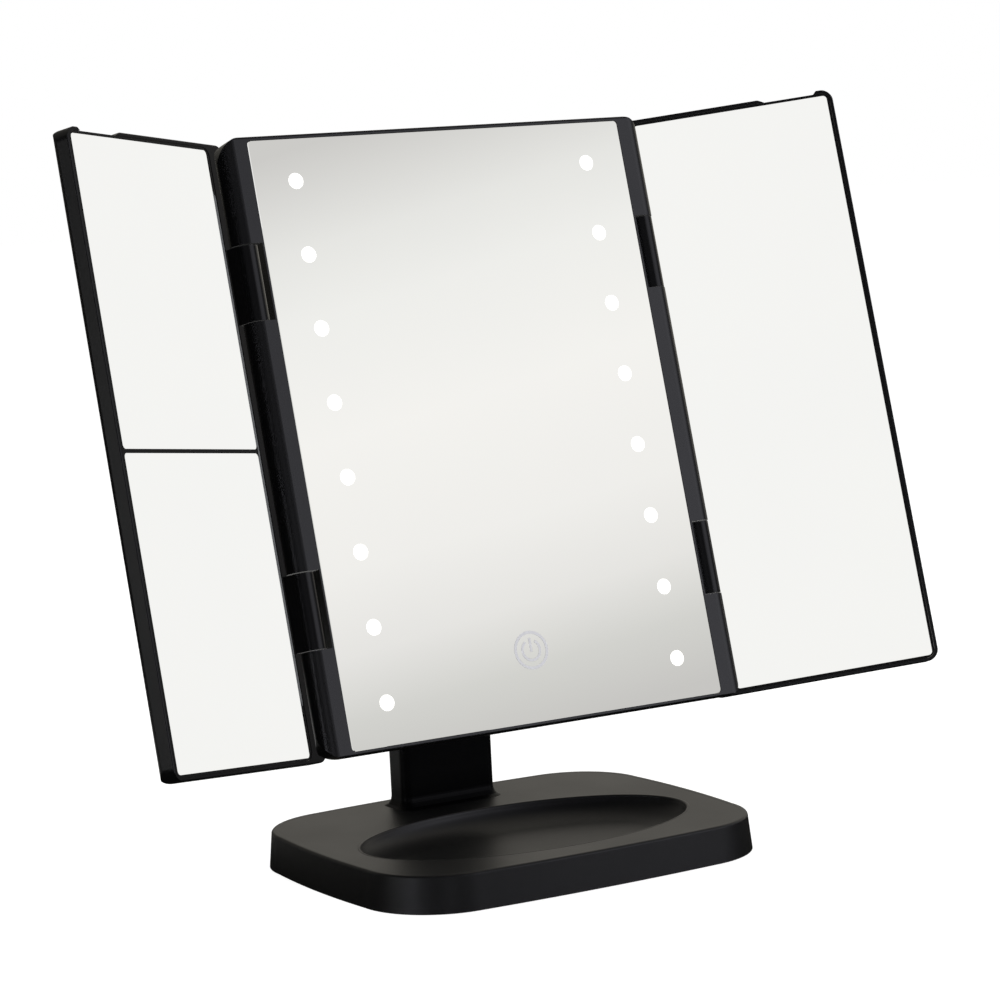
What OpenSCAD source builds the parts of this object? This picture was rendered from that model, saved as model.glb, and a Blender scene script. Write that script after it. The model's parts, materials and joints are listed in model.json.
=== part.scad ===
// Trifold vanity mirror on a stand: a tilting lit panel with two folding wings.
// +X is the viewer's right, the mirror faces -Y, and +Z is up from the table.

/* [Centre glass] */
// Width of the centre glass
glass_w = 160; // [140:1:190]
// Height of the centre glass
glass_h = 226; // [200:1:260]
// Thickness of every mirror glass
glass_t = 2; // [1.5:0.1:3]
// Corner radius of the centre glass
glass_corner = 1.5; // [0.5:0.1:3]
// Gap between the centre glass and its frame
glass_gap = 0.3; // [0.1:0.05:0.6]

/* [Panel case] */
// Width of the frame rail beside the glass
rail_w = 11; // [10.6:0.1:11.4]
// Width of the frame above and below the glass
rim_w = 1.8; // [1.6:0.1:3]
// Depth of the front frame
frame_depth = 7; // [6.8:0.1:7.6]
// Depth of the case at its rails
rail_depth = 10; // [9.8:0.1:10.4]
// Depth of the case in its middle, where the back bulges
case_depth = 14; // [13:0.1:15]
// Thickness of the back cover's plate
cover_wall = 2; // [1.6:0.1:2.4]
// Radius that rounds the front of each rail
rail_round = 5.5; // [5:0.1:5.6]
// Radius that rounds the back of each rail
back_round = 4.2; // [3.9:0.1:4.4]
// Corner radius of the panel seen from the front
panel_corner = 8; // [5:0.1:10]
// Width of the ledge behind the glass that carries the carrier plate
ledge_w = 4; // [3:0.1:6]
// Radius that softens the front edge of the top and bottom rims
rim_soft = 0.9; // [0.5:0.1:1.2]
// Radius that rounds the back of the top and bottom rims
rim_round = 5; // [3:0.1:5.5]

/* [Lights and touch pad] */
// Number of lights in each column
led_count = 8; // [4:1:10]
// Height of the lowest light above the glass bottom
led_low = 15.5; // [10:0.1:20]
// Distance of the highest light below the glass top
led_high = 15.9; // [10:0.1:20]
// Distance of each column of lights from the side of the glass
led_inset = 16.9; // [15:0.1:30]
// Diameter of a light window
led_d = 6; // [5:0.1:8]
// Thickness of the plate that carries the glass and the lights
carrier_t = 2; // [1.6:0.1:3]
// Width of a light board
board_w = 9; // [8:0.5:12]
// Thickness of the circuit boards
board_t = 1.2; // [0.8:0.1:1.6]
// Height of the touch pad above the glass bottom
pad_height = 27; // [20:0.5:32]
// Diameter of the touch pad
pad_d = 15; // [10:0.5:18]

/* [Wings] */
// Width of a wing's glass
wing_glass_w = 78; // [65:0.5:78.5]
// How far the left wing is folded forward
fold_left = 28.5; // [5:0.5:60]
// How far the right wing is folded forward
fold_right = 25.5; // [5:0.5:60]
// Thickness of a wing, front lip to back
wing_t = 7.5; // [7:0.1:9]
// Wall of a wing's cover
wing_wall = 1.3; // [1:0.1:1.8]
// Thickness of a wing cover's back
wing_back = 1.5; // [1.2:0.1:2]
// Rim of the carrier that holds a wing's glass
wing_rim = 0.9; // [0.7:0.1:1.5]
// Plain margin of a wing beside the hinge, in front of the glass's edge
wing_margin = 10; // [9.5:0.1:12]
// Thickness of a wing carrier's plate
wing_plate = 1.5; // [1.2:0.1:2]
// Corner radius of a wing seen from the front
wing_corner = 5; // [3:0.1:6]
// Radius that rounds the back edges of a wing
wing_round = 2.4; // [1:0.1:3]
// Width of the bar between the two glasses of the left wing
divider_w = 1.5; // [1:0.1:3]
// Length of the finger scoop in a wing's top wall
scoop_len = 20; // [15:1:40]
// Distance from the scoop to the wing's outer edge
scoop_edge = 7.5; // [3:0.5:12]
// Thickness of the foam pads behind the wing glasses
foam_t = 0.5; // [0.3:0.1:0.8]

/* [Wing hinges] */
// Distance of a hinge axis from the outside of the rail
hinge_in = 5; // [4.9:0.1:5.1]
// Depth of a hinge axis behind the glass front
hinge_depth = 5; // [4.9:0.1:5.1]
// Gap between a folded wing's lip and the centre glass
fold_gap = 0.7; // [0.6:0.1:1.5]
// Height of each hinge window in a rail
window_h = 28.8; // [20:0.1:36]
// Distance of the two hinges of a wing, centre to centre
hinge_spread = 121.3; // [90:0.1:140]
// Radius of a hinge barrel
barrel_r = 4.6; // [3.6:0.1:4.6]
// Diameter of a hinge pin
hinge_pin_d = 2.5; // [2:0.1:3]
// Length of a hinge pin that is held in the rail at each end
pin_hold = 8; // [5:0.5:12]
// Running clearance around a hinge pin
pin_play = 0.06; // [0.03:0.01:0.09]
// Gap between a hinge barrel and the ends of its window
barrel_gap = 0.3; // [0.2:0.05:0.6]

/* [Tilt hinge] */
// How far the panel leans back
tilt = 14.5; // [0:0.5:40]
// Distance of the tilt axis behind the glass front
pivot_depth = 32; // [30:0.5:36]
// Height of the tilt axis above the glass bottom
pivot_height = 95; // [85:1:105]
// Radius of the neck's head and of the bracket's ears
head_r = 8; // [7:0.1:9]
// Width of the neck's head
head_w = 33; // [28:0.5:38]
// Diameter of the tilt shaft
shaft_d = 6; // [5:0.1:7]
// Running clearance around the tilt shaft
shaft_play = 0.05; // [0.03:0.01:0.09]
// Thickness of a bracket ear
ear_t = 4; // [3:0.1:5]
// Thickness of a friction washer
washer_t = 0.8; // [0.5:0.1:1.2]
// Height of the bracket's plate
bracket_h = 30; // [26:0.5:32]
// Thickness of the bracket's plate
bracket_t = 3; // [2.5:0.1:4]

/* [Battery box] */
// Diameter of a battery cell
cell_d = 14.2; // [14:0.1:14.5]
// Length of a battery cell
cell_len = 50.5; // [49:0.1:51]
// Number of battery cells
cell_count = 4; // [3:1:4]
// Distance between neighbouring cells
cell_pitch = 15.4; // [15:0.1:16]
// Height of the box's underside above the tilt axis
box_above = 17; // [16:0.5:24]
// Wall of the battery box
box_wall = 3.2; // [3:0.1:4]
// Corner radius of the battery box
box_corner = 6; // [3:0.5:8]
// Thickness of the battery door
door_t = 1.9; // [1.6:0.1:2.2]
// Width of the tongues that guide the door
tongue_w = 1.4; // [1:0.1:1.6]
// Length of a compressed battery spring
spring_len = 6; // [5:0.5:8]

/* [Base] */
// Width of the base
base_w = 166.2; // [150:0.5:190]
// Depth of the base, front to back
base_d = 134.5; // [120:0.5:145]
// Height of the base's top above the table
base_h = 14; // [13.5:0.1:20]
// Corner radius of the base
base_corner = 33.3; // [25:0.1:40]
// How far the sides of the base bow out
base_bow = 1.6; // [0.5:0.1:3]
// How far the top of the base is drawn in
base_draft = 1.4; // [1:0.1:5]
// Radius of the base's top edge
base_soft = 1; // [0.8:0.1:3]
// Wall of the base
base_wall = 2.4; // [2:0.1:3]
// Thickness of the base's bottom plate
plate_t = 2; // [1.6:0.1:3]
// Diameter of a rubber foot
foot_d = 12; // [8:0.5:16]
// How far a rubber foot stands out
foot_out = 0.3; // [0.2:0.1:1.5]
// Depth of a foot's seat in the bottom plate
foot_seat = 0.9; // [0.5:0.1:1.2]
// Length of the oval tray
tray_w = 135.4; // [110:0.5:140]
// Width of the oval tray, front to back
tray_d = 77; // [60:0.5:80]
// Depth of the tray
tray_deep = 8; // [6:0.1:9]
// How far the tray's centre lies in front of the base's centre
tray_front = 13.2; // [10:0.1:18]
// Radius of the tray's dished wall, measured inwards
tray_dish = 15; // [8:0.5:20]

/* [Neck] */
// Width of the neck
neck_w = 41; // [36:0.5:48]
// Thickness of the neck, front to back
neck_d = 13; // [10:0.5:14]
// Corner radius of the neck
neck_corner = 3; // [2:0.1:4]
// Distance of the neck's middle from the back of the base
neck_inset = 16.75; // [14:0.05:23]
// Height above the table where the neck starts to curve forward
neck_bend = 68; // [50:1:90]
// How far the tilt axis lies in front of the neck's foot
neck_reach = 24.8; // [18:0.1:30]
// Height of the tilt axis above the table
pivot_up = 140.4; // [130:0.1:170]
// Width of the collar at the neck's foot
collar_w = 46; // [44:0.5:54]
// Depth of the collar, front to back
collar_d = 21; // [17:0.5:23]
// Height of the collar
collar_h = 4.5; // [3:0.1:8]

/* [Hidden] */
$fn = 64;

// Clearances that several pieces share
slip = 0.1;      // a piece dropped into its seat
touch = 0.02;    // a pin or shaft held fast in its bore
past = 1;        // how far a cut runs past the face that it opens

// Panel case
half_w = glass_w / 2 + rail_w;
panel_low = -rim_w;
panel_high = glass_h + rim_w;
carrier_back = glass_t + carrier_t;
cavity_half = glass_w / 2 - ledge_w;
bulge_half = cavity_half + cover_wall;
cavity_low = ledge_w;
cavity_high = glass_h - ledge_w;
led_column = glass_w / 2 - led_inset;
led_pitch = (glass_h - led_low - led_high) / (led_count - 1);
led_rows = [for (i = [0 : led_count - 1]) led_low + i * led_pitch];
led_hole_d = led_d - 1;
board_end = 6;
board_low = led_low - board_end;
board_high = glass_h - led_high + board_end;
pad_t = 0.3;

// Wings, in each wing's own frame: s runs out from the hinge axis, d runs back from it
hinge_u = half_w - hinge_in;
lip_d = hinge_depth + fold_gap;
wing_glass_d = lip_d + 0.5;
wing_near = -hinge_in;
wing_frame = wing_wall + slip + wing_rim + slip;
wing_glass_near = wing_near + wing_margin;
pocket_near = wing_glass_near - 2 * slip - wing_rim;
wing_glass_far = wing_glass_near + wing_glass_w;
wing_far = wing_glass_far + wing_frame;
wing_back_d = lip_d + wing_t;
wing_glass_low = panel_low + wing_frame;
wing_glass_high = panel_high - wing_frame;
carrier_lip_d = lip_d + 0.3;
carrier_floor_d = wing_glass_d + glass_t + foam_t;
carrier_back_d = carrier_floor_d + wing_plate;
cover_floor_d = wing_back_d - wing_back;
wing_mid = (wing_glass_low + wing_glass_high) / 2;

// Wing hinges
hinge_mid = glass_h / 2;
hinge_heights = [hinge_mid - hinge_spread / 2, hinge_mid + hinge_spread / 2];
window_u = glass_w / 2 + 1;
pin_len = window_h + 2 * pin_hold;

// Neck
neck_back = base_d / 2 - neck_inset;
pivot_back = neck_back - neck_reach;

// Tilt hinge
ear_in = head_w / 2 + washer_t + 2 * slip;
ear_out = ear_in + ear_t;
shaft_end = ear_out + slip + washer_t + slip;
bolt_head_t = 4;
bolt_head_d = 10;
nut_t = 5;
nut_flats = 10;
washer_d = 13;
bracket_w = 2 * ear_out + 14;
bracket_low = pivot_height - bracket_h / 2 - 2;
bracket_screw_x = ear_out + 3.5;
bracket_screw_z = bracket_h / 2 - 4;

// Battery box
contact_t = 0.5;
contact_w = 10;
contact_h = 12;
bay_len = cell_len + spring_len + 2 * contact_t + 2 * slip;
bay_half = bay_len / 2;
box_half = bay_half + box_wall;
box_low = pivot_height + box_above;
bay_low = box_low + box_wall;
bay_high = bay_low + cell_count * cell_pitch;
box_high = bay_high + box_wall;
bay_floor = case_depth + 1.4;
cell_depth = bay_floor + slip + cell_d / 2;
door_in = cell_depth + cell_d / 2 + slip;
box_back = door_in + door_t;
door_half = bay_half - 0.8;
tongue_t = 0.9;
cell_heights = [for (i = [0 : cell_count - 1]) bay_low + (i + 0.5) * cell_pitch];

// Screws: [shank diameter, head diameter, head height]
small_screw = [2.5, 4.6, 1.5];
base_screw = [3, 5.4, 1.2];
neck_screw = [3, 5.8, 2];
cover_screw_len = 5;
cover_screw_d = rail_depth - small_screw[2] - slip;
bracket_screw_len = 7;
base_screw_len = 9;
neck_screw_len = 22;

// Base
tray_y = -tray_front;
tray_facets = 80;
base_screw_inset = [18, 20];
foot_inset = [32, 14];
base_screw_x = base_w / 2 - base_screw_inset[0];
base_screw_y = base_d / 2 - base_screw_inset[1];
foot_x = base_w / 2 - foot_inset[0];
foot_y = base_d / 2 - foot_inset[1];
boss_r = 4;
plate_low = foot_out;
plate_high = plate_low + plate_t;
plate_inset = base_wall + 0.7;
neck_screw_x = 11;
neck_boss_low = 5;
tenon = [30, 6, 6];

// ---------- Shared shapes ----------

// Rectangle between two corners, its own corners rounded with true arcs
module rounded_rect(x0, x1, y0, y1, r) {
    translate([x0 + r, y0]) square([x1 - x0 - 2 * r, y1 - y0]);
    translate([x0, y0 + r]) square([x1 - x0, y1 - y0 - 2 * r]);
    for (x = [x0 + r, x1 - r], y = [y0 + r, y1 - r]) translate([x, y]) circle(r = r);
}

// Cross-section from x0 to x1 and from depth d0 to d1, its front and back corners rounded
module edge_section(x0, x1, d0, d1, front_r, back_r) {
    translate([x0 + front_r, d0]) square([x1 - x0 - 2 * front_r, front_r]);
    translate([x0, d0 + front_r]) square([x1 - x0, d1 - d0 - front_r - back_r]);
    translate([x0 + back_r, d1 - back_r]) square([x1 - x0 - 2 * back_r, back_r]);
    for (x = [x0 + front_r, x1 - front_r]) translate([x, d0 + front_r]) circle(r = front_r);
    for (x = [x0 + back_r, x1 - back_r]) translate([x, d1 - back_r]) circle(r = back_r);
}

// Slab from x0 to x1 and z0 to z1 with rounded corners, between depths d0 and d1
module slab(x0, x1, d0, d1, z0, z1, r) {
    translate([0, d1, 0]) rotate([90, 0, 0]) linear_extrude(d1 - d0) rounded_rect(x0, x1, z0, z1, r);
}

// Casing block rounded in all three views: corners, side edges and end edges
module soft_block(x0, x1, d0, d1, z0, z1, corner_r, side_r, end_r) {
    intersection() {
        translate([0, 0, z0 - past]) linear_extrude(z1 - z0 + 2 * past)
            edge_section(x0, x1, d0, d1, side_r[0], side_r[1]);
        slab(x0, x1, d0 - past, d1 + past, z0, z1, corner_r);
        translate([x0 - past, 0, 0]) rotate([90, 0, 90]) linear_extrude(x1 - x0 + 2 * past)
            mirror([1, -1, 0]) edge_section(z0, z1, d0, d1, end_r[0], end_r[1]);
    }
}

// Plain block between two corners, given as [low, high] along each axis
module block(x, y, z) {
    translate([x[0], y[0], z[0]]) cube([x[1] - x[0], y[1] - y[0], z[1] - z[0]]);
}

// Cylinder along the depth, from depth d0 to d1
module peg(x, z, d0, d1, r) {
    translate([x, d1, z]) rotate([90, 0, 0]) cylinder(h = d1 - d0, r = r);
}

// Cylinder along X, from x0 to x1, at the tilt axis
module axle(x0, x1, r) {
    translate([x0, pivot_depth, pivot_height]) rotate([0, 90, 0]) cylinder(h = x1 - x0, r = r);
}

// Pan-head screw along the depth, its head's underside at depth d, pointing forward
module screw_in_panel(x, z, d, size, len) {
    peg(x, z, d - len, d, size[0] / 2);
    difference() {
        peg(x, z, d, d + size[2], size[1] / 2);
        block([x - size[1] / 4, x + size[1] / 4], [d + size[2] / 2, d + size[2] + past], [z - 0.3, z + 0.3]);
        block([x - 0.3, x + 0.3], [d + size[2] / 2, d + size[2] + past], [z - size[1] / 4, z + size[1] / 4]);
    }
}

// Pan-head screw that points up, its head's underside at height z
module screw_up(x, y, z, size, len) {
    translate([x, y, z]) cylinder(h = len, r = size[0] / 2);
    difference() {
        translate([x, y, z - size[2]]) cylinder(h = size[2], r = size[1] / 2);
        block([x - size[1] / 4, x + size[1] / 4], [y - 0.3, y + 0.3], [z - size[2] - past, z - size[2] / 2]);
        block([x - 0.3, x + 0.3], [y - size[1] / 4, y + size[1] / 4], [z - size[2] - past, z - size[2] / 2]);
    }
}

// ---------- Frames ----------

// Panel frame: x to the right, y back from the glass front, z up from the glass bottom
module on_panel() {
    translate([0, pivot_back, pivot_up]) rotate([-tilt, 0, 0])
        translate([0, -pivot_depth, -pivot_height]) children();
}

// Wing frame of one side: x out from the hinge axis, y back from it, z as on the panel
module on_wing(side) {
    fold = side < 0 ? fold_left : fold_right;
    on_panel() mirror([side < 0 ? 1 : 0, 0, 0])
        translate([hinge_u, hinge_depth, 0]) rotate([0, 0, -fold]) children();
}

// ---------- Base ----------

// Thin slice of the base's outline at height z, drawn in by inset
module base_slice(z, inset) {
    r = base_corner - inset;
    arc_x = base_w / 2 - base_corner;
    arc_y = base_d / 2 - base_corner;
    side = [for (i = [-6 : 6]) i / 6];
    bulge = [for (t = side) base_bow * (1 - t * t)];
    translate([0, 0, z]) linear_extrude(0.01) {
        for (x = [-arc_x, arc_x], y = [-arc_y, arc_y]) translate([x, y]) circle(r = r - base_bow);
        for (end = [-1, 1]) {
            polygon([for (i = [0 : 12]) [side[i] * arc_x, end * (base_d / 2 - inset - base_bow + bulge[i])],
                     [0, 0]]);
            polygon([for (i = [0 : 12]) [end * (base_w / 2 - inset - base_bow + bulge[i]), side[i] * arc_y],
                     [0, 0]]);
        }
    }
}

// Solid body of the base from z_low to z_high: drafted sides and a rounded top edge
module base_body(z_low, z_high, inset) {
    soft_low = z_high - base_soft;
    draft = function (z) base_draft * (z - foot_out) / (base_h - foot_out);
    hull() {
        base_slice(z_low, inset + draft(z_low));
        for (a = [0 : 22.5 : 90])
            base_slice(soft_low + base_soft * sin(a) - (a == 90 ? 0.01 : 0),
                       inset + draft(soft_low) + base_soft * (1 - cos(a)));
    }
}

// Dished oval, its rim at height z, grown all round by grow, with facets sides
module tray_dish_solid(z, grow, up, facets) {
    hull() {
        for (a = [0 : 15 : 90]) {
            drop = (tray_deep + grow) * sin(a);
            draw_in = (tray_dish - grow) * (1 - cos(a));
            translate([0, tray_y, z - drop]) linear_extrude(0.01)
                resize([tray_w + 2 * grow - 2 * draw_in, tray_d + 2 * grow - 2 * draw_in])
                    circle(d = tray_d, $fn = facets);
        }
        translate([0, tray_y, z + up]) linear_extrude(0.01)
            resize([tray_w + 2 * grow, tray_d + 2 * grow]) circle(d = tray_d, $fn = facets);
    }
}

// Rolled edge where the tray's wall meets the base's top
module tray_edge() {
    roll = 1.2;
    hull() {
        for (a = [0 : 30 : 90])
            translate([0, tray_y, base_h - roll * (1 - sin(a))]) linear_extrude(0.01)
                resize([tray_w + 2 * roll * (1 - cos(a)), tray_d + 2 * roll * (1 - cos(a))])
                    circle(d = tray_d, $fn = tray_facets);
    }
}

module base_shell() {
    color("#26262a") difference() {
        union() {
            difference() {
                base_body(foot_out, base_h, 0);
                difference() {
                    base_body(foot_out - past, base_h - base_wall, base_wall);
                    tray_dish_solid(base_h, base_wall - 0.4, 0, 40);
                }
            }
            intersection() {
                base_body(foot_out, base_h, 0.5);
                union() {
                    for (x = [-base_screw_x, base_screw_x], y = [-base_screw_y, base_screw_y])
                        translate([x, y, plate_high + slip]) cylinder(h = base_h, r = boss_r);
                    for (x = [-neck_screw_x, neck_screw_x])
                        translate([x, neck_back, neck_boss_low]) cylinder(h = base_h, r = boss_r + 0.5);
                }
            }
        }
        tray_dish_solid(base_h, 0, past, tray_facets);
        tray_edge();
        block([-tenon[0] / 2 - slip, tenon[0] / 2 + slip],
              [neck_back - tenon[1] / 2 - slip, neck_back + tenon[1] / 2 + slip],
              [base_h - tenon[2] - slip, base_h + past]);
        for (x = [-base_screw_x, base_screw_x], y = [-base_screw_y, base_screw_y])
            translate([x, y, 0]) cylinder(h = plate_low + base_screw_len + past, r = base_screw[0] / 2 + touch);
        for (x = [-neck_screw_x, neck_screw_x])
            translate([x, neck_back, 0]) cylinder(h = base_h + past, r = neck_screw[0] / 2 + slip);
    }
}

module base_plate() {
    color("#1d1d20") difference() {
        translate([0, 0, plate_low]) linear_extrude(plate_t) hull() projection(cut = true)
            translate([0, 0, -0.005]) base_slice(0, plate_inset);
        for (x = [-foot_x, foot_x], y = [-foot_y, foot_y])
            translate([x, y, plate_low - past]) cylinder(h = foot_seat + past, r = foot_d / 2 + slip);
        for (x = [-base_screw_x, base_screw_x], y = [-base_screw_y, base_screw_y]) {
            translate([x, y, 0]) cylinder(h = plate_high + past, r = base_screw[0] / 2 + slip);
            translate([x, y, 0]) cylinder(h = plate_low + base_screw[2] + slip, r = base_screw[1] / 2 + slip);
        }
    }
}

module base_feet() {
    color("#101010") for (x = [-foot_x, foot_x], y = [-foot_y, foot_y])
        translate([x, y, 0]) cylinder(h = foot_out + foot_seat, r = foot_d / 2);
}

module base_screws() {
    color("#9a9a9e") for (x = [-base_screw_x, base_screw_x], y = [-base_screw_y, base_screw_y])
        screw_up(x, y, plate_low + base_screw[2] + slip, base_screw, base_screw_len - 2);
}

// ---------- Neck ----------

// Points of a rounded rectangle, w wide and d deep, anticlockwise
function ring(w, d, r) = [
    for (c = [[1, 1, 0], [-1, 1, 90], [-1, -1, 180], [1, -1, 270]], a = [0 : 15 : 90])
        [c[0] * (w / 2 - r) + r * cos(c[2] + a), c[1] * (d / 2 - r) + r * sin(c[2] + a)]
];

// Centre line of the neck above its straight part: an arc that ends at the tilt axis
bend_turn = 2 * atan((neck_back - pivot_back) / (pivot_up - neck_bend));
bend_r = (pivot_up - neck_bend) / sin(bend_turn);

// Stations along the neck: [y, z, lean forward, width, depth, corner radius]
collar_stations = [for (i = [0 : 6]) let (q = i / 6, flare = 1 - sqrt(1 - pow(1 - q, 2)))
    [neck_back, base_h + collar_h * q, 0, neck_w + (collar_w - neck_w) * flare,
     neck_d + (collar_d - neck_d) * flare, neck_corner * (1 + flare)]];
bend_stations = [for (i = [0 : 10]) let (q = i / 10, a = bend_turn * q)
    [neck_back - bend_r * (1 - cos(a)), neck_bend + bend_r * sin(a), a,
     neck_w - (neck_w - head_w) * min(1, q / 0.7), neck_d, neck_corner]];
stations = concat(collar_stations, bend_stations);
ring_points = len(ring(neck_w, neck_d, neck_corner));

// The neck's skin: one ring of points at each station
module neck_skin() {
    points = [for (s = stations) for (p = ring(s[3], s[4], s[5]))
        [p[0], s[0] + p[1] * cos(s[2]), s[1] + p[1] * sin(s[2])]];
    last = len(stations) - 1;
    sides = [for (i = [0 : last - 1], j = [0 : ring_points - 1]) let (k = (j + 1) % ring_points)
        [i * ring_points + j, (i + 1) * ring_points + j, (i + 1) * ring_points + k, i * ring_points + k]];
    foot = [for (j = [0 : ring_points - 1]) j];
    top = [for (j = [ring_points - 1 : -1 : 0]) last * ring_points + j];
    polyhedron(points, concat([foot], sides, [top]));
}

// Cylinder along X at the tilt axis, in the table's frame
module head_cylinder(half, r) {
    translate([-half, pivot_back, pivot_up]) rotate([0, 90, 0]) cylinder(h = 2 * half, r = r);
}

module neck_post() {
    color("#161618") difference() {
        union() {
            neck_skin();
            head_cylinder(head_w / 2, head_r);
            translate([-tenon[0] / 2, neck_back - tenon[1] / 2, base_h - tenon[2]]) cube(tenon + [0, 0, past]);
        }
        head_cylinder(head_w / 2 + past, shaft_d / 2 + shaft_play);
        for (x = [-neck_screw_x, neck_screw_x])
            translate([x, neck_back, 0]) cylinder(h = neck_boss_low + neck_screw_len + 2, r = neck_screw[0] / 2 + touch);
    }
}

module neck_screws() {
    color("#9a9a9e") for (x = [-neck_screw_x, neck_screw_x])
        screw_up(x, neck_back, neck_boss_low, neck_screw, neck_screw_len);
}

// ---------- Panel ----------

// Whole outside of the panel's case
module case_block() {
    soft_block(-half_w, half_w, 0, rail_depth, panel_low, panel_high,
               panel_corner, [rail_round, back_round], [rim_soft, rim_round]);
}

// Hinge windows, cut through the rails from the glass's side outwards
module hinge_windows() {
    for (side = [-1, 1], z = hinge_heights) mirror([side < 0 ? 1 : 0, 0, 0])
        block([window_u, half_w + past], [-past, rail_depth + past], [z - window_h / 2, z + window_h / 2]);
}

// Places of the screws that hold the back cover
cover_screw_spots = [for (x = [-1, 1], z = [12, hinge_mid, glass_h - 12]) [x * (glass_w / 2 + 3), z]];

module front_frame() {
    color("#2a2a2d") on_panel() difference() {
        intersection() {
            case_block();
            block([-half_w - past, half_w + past], [-past, frame_depth], [panel_low - past, panel_high + past]);
        }
        slab(-glass_w / 2 - glass_gap, glass_w / 2 + glass_gap, -past, carrier_back,
             -glass_gap, glass_h + glass_gap, glass_corner + glass_gap);
        slab(-cavity_half, cavity_half, carrier_back - past, frame_depth + past, cavity_low, cavity_high, 3);
        hinge_windows();
        for (side = [-1, 1], z = hinge_heights)
            translate([side * hinge_u, hinge_depth, z - pin_len / 2])
                cylinder(h = pin_len, r = hinge_pin_d / 2 + touch);
        for (s = cover_screw_spots)
            peg(s[0], s[1], cover_screw_d - cover_screw_len - 0.3, frame_depth + past, small_screw[0] / 2 + touch);
    }
}

module center_mirror() {
    color("#cfcfcd") on_panel() difference() {
        slab(-glass_w / 2, glass_w / 2, 0, glass_t, 0, glass_h, glass_corner);
        for (x = [-led_column, led_column], z = led_rows) peg(x, z, -past, glass_t + past, led_d / 2 + touch);
    }
}

module led_windows() {
    color("white") on_panel() for (x = [-led_column, led_column], z = led_rows) peg(x, z, 0, glass_t, led_d / 2);
}

module mirror_carrier() {
    color("#3a3a3c") on_panel() difference() {
        slab(-glass_w / 2, glass_w / 2, glass_t, carrier_back, 0, glass_h, glass_corner);
        for (x = [-led_column, led_column], z = led_rows)
            peg(x, z, glass_t - past, carrier_back + past, led_hole_d / 2);
        peg(0, pad_height, glass_t - past, glass_t + pad_t + slip, pad_d / 2 + slip);
        peg(0, pad_height, glass_t, carrier_back + past, 2);
    }
}

module led_board(side) {
    on_panel() block([side * led_column - board_w / 2, side * led_column + board_w / 2],
                     [carrier_back, carrier_back + board_t], [board_low, board_high]);
}

module led_board_left() {
    color("#e8e6dc") led_board(-1);
}

module led_board_right() {
    color("#e8e6dc") led_board(1);
}

module led_chips() {
    chip = [3.2, 0.8, 2.6];
    color("#f4e9b0") on_panel() for (x = [-led_column, led_column], z = led_rows)
        translate([x - chip[0] / 2, carrier_back - chip[1], z - chip[2] / 2]) cube(chip);
}

module touch_pad() {
    color("#c08a4a") on_panel() {
        peg(0, pad_height, glass_t, glass_t + pad_t, pad_d / 2);
        peg(0, pad_height, glass_t + pad_t, carrier_back, 1);
    }
}

// Circuit board behind the touch pad: width and height, then the height of its foot
control_size = [44, 34];
control_low = 10;
chip_size = [12, 1.5, 8];
chip_low = 24;
plug_size = [7, 2, 5];
plug_at = [-18, 16];
can_d = 4.4;
can_h = 4;
can_x = [10, 17];
can_z = 36;

module control_board() {
    face = carrier_back + board_t;
    color("#1f5a3a") on_panel() {
        block([-control_size[0] / 2, control_size[0] / 2], [carrier_back, face],
              [control_low, control_low + control_size[1]]);
        block([-chip_size[0] / 2, chip_size[0] / 2], [face, face + chip_size[1]], [chip_low, chip_low + chip_size[2]]);
        block([plug_at[0], plug_at[0] + plug_size[0]], [face, face + plug_size[1]],
              [plug_at[1], plug_at[1] + plug_size[2]]);
        for (x = can_x) peg(x, can_z, face, face + can_h, can_d / 2);
    }
}

// Charging inlet in the back cover: its place, opening and shell
usb_x = 46;
usb_z = 34;
usb_size = [8, 3];
usb_len = 5.6;
usb_wall = 0.4;

module usb_socket() {
    x = [usb_x - usb_size[0] / 2, usb_x + usb_size[0] / 2];
    z = [usb_z - usb_size[1] / 2, usb_z + usb_size[1] / 2];
    color("#b8b8bc") on_panel() {
        difference() {
            slab(x[0], x[1], case_depth - usb_len, case_depth, z[0], z[1], 0.8);
            slab(x[0] + usb_wall, x[1] - usb_wall, case_depth - usb_len + 1, case_depth + past,
                 z[0] + usb_wall, z[1] - usb_wall, 0.4);
        }
        block([usb_x - 2.4, usb_x + 2.4], [case_depth - usb_len + 0.5, case_depth - 1], [usb_z - 0.3, usb_z + 0.3]);
    }
}

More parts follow.
